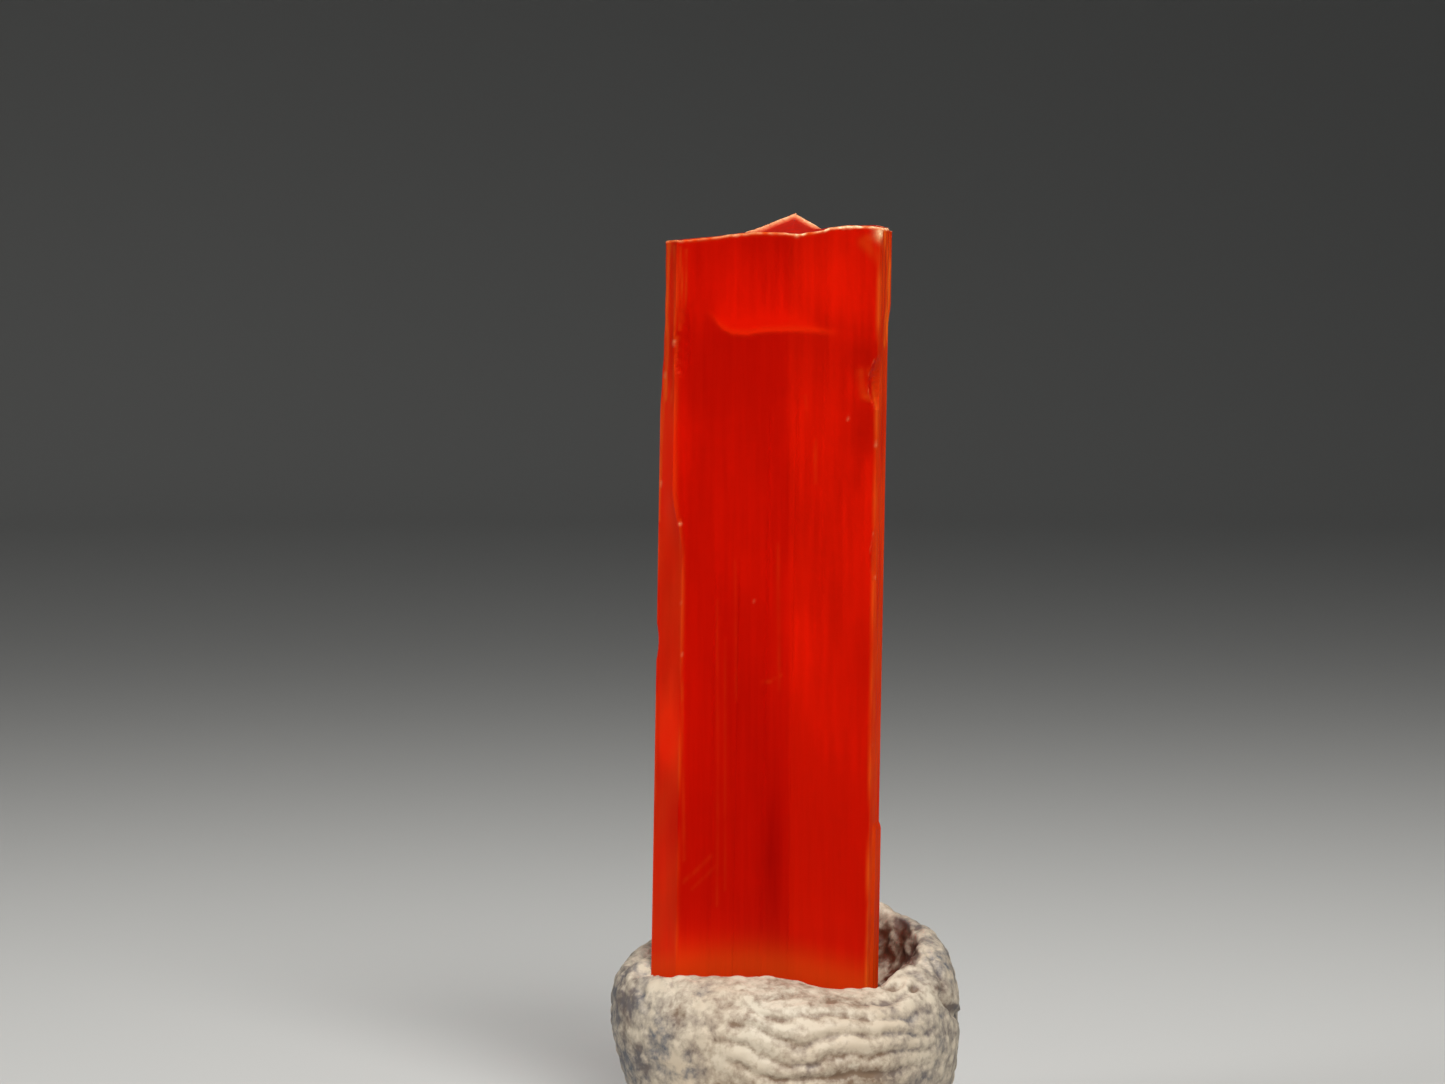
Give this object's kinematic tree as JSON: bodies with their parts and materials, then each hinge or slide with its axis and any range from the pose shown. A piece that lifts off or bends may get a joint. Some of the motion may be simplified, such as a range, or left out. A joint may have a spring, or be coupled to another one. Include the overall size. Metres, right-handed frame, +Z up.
{
  "type": "crocoite crystal",
  "caption": "Orange-red prismatic crocoite crystal about 20 mm tall, standing upright in a kneaded lump of grey putty that holds its foot.",
  "frame": {"origin": "the middle of the putty's flat foot, under the middle of the whole object's box", "axes": "+Z up along the crystal, +X to the right of its broad front face, +Y to the back"},
  "size_m": [0.0088, 0.0076, 0.023],
  "materials": {
    "crocoite": "translucent orange-red crystal with a resinous to adamantine lustre, finely striated along its length, chipped and paler along its edges",
    "putty": "matt, kneaded mounting putty, mottled beige and blue-grey, with fine finger ridges pressed into it"
  },
  "bodies": {
    "root": {"crystal": "crocoite", "putty": "putty"}
  },
  "joints": []
}
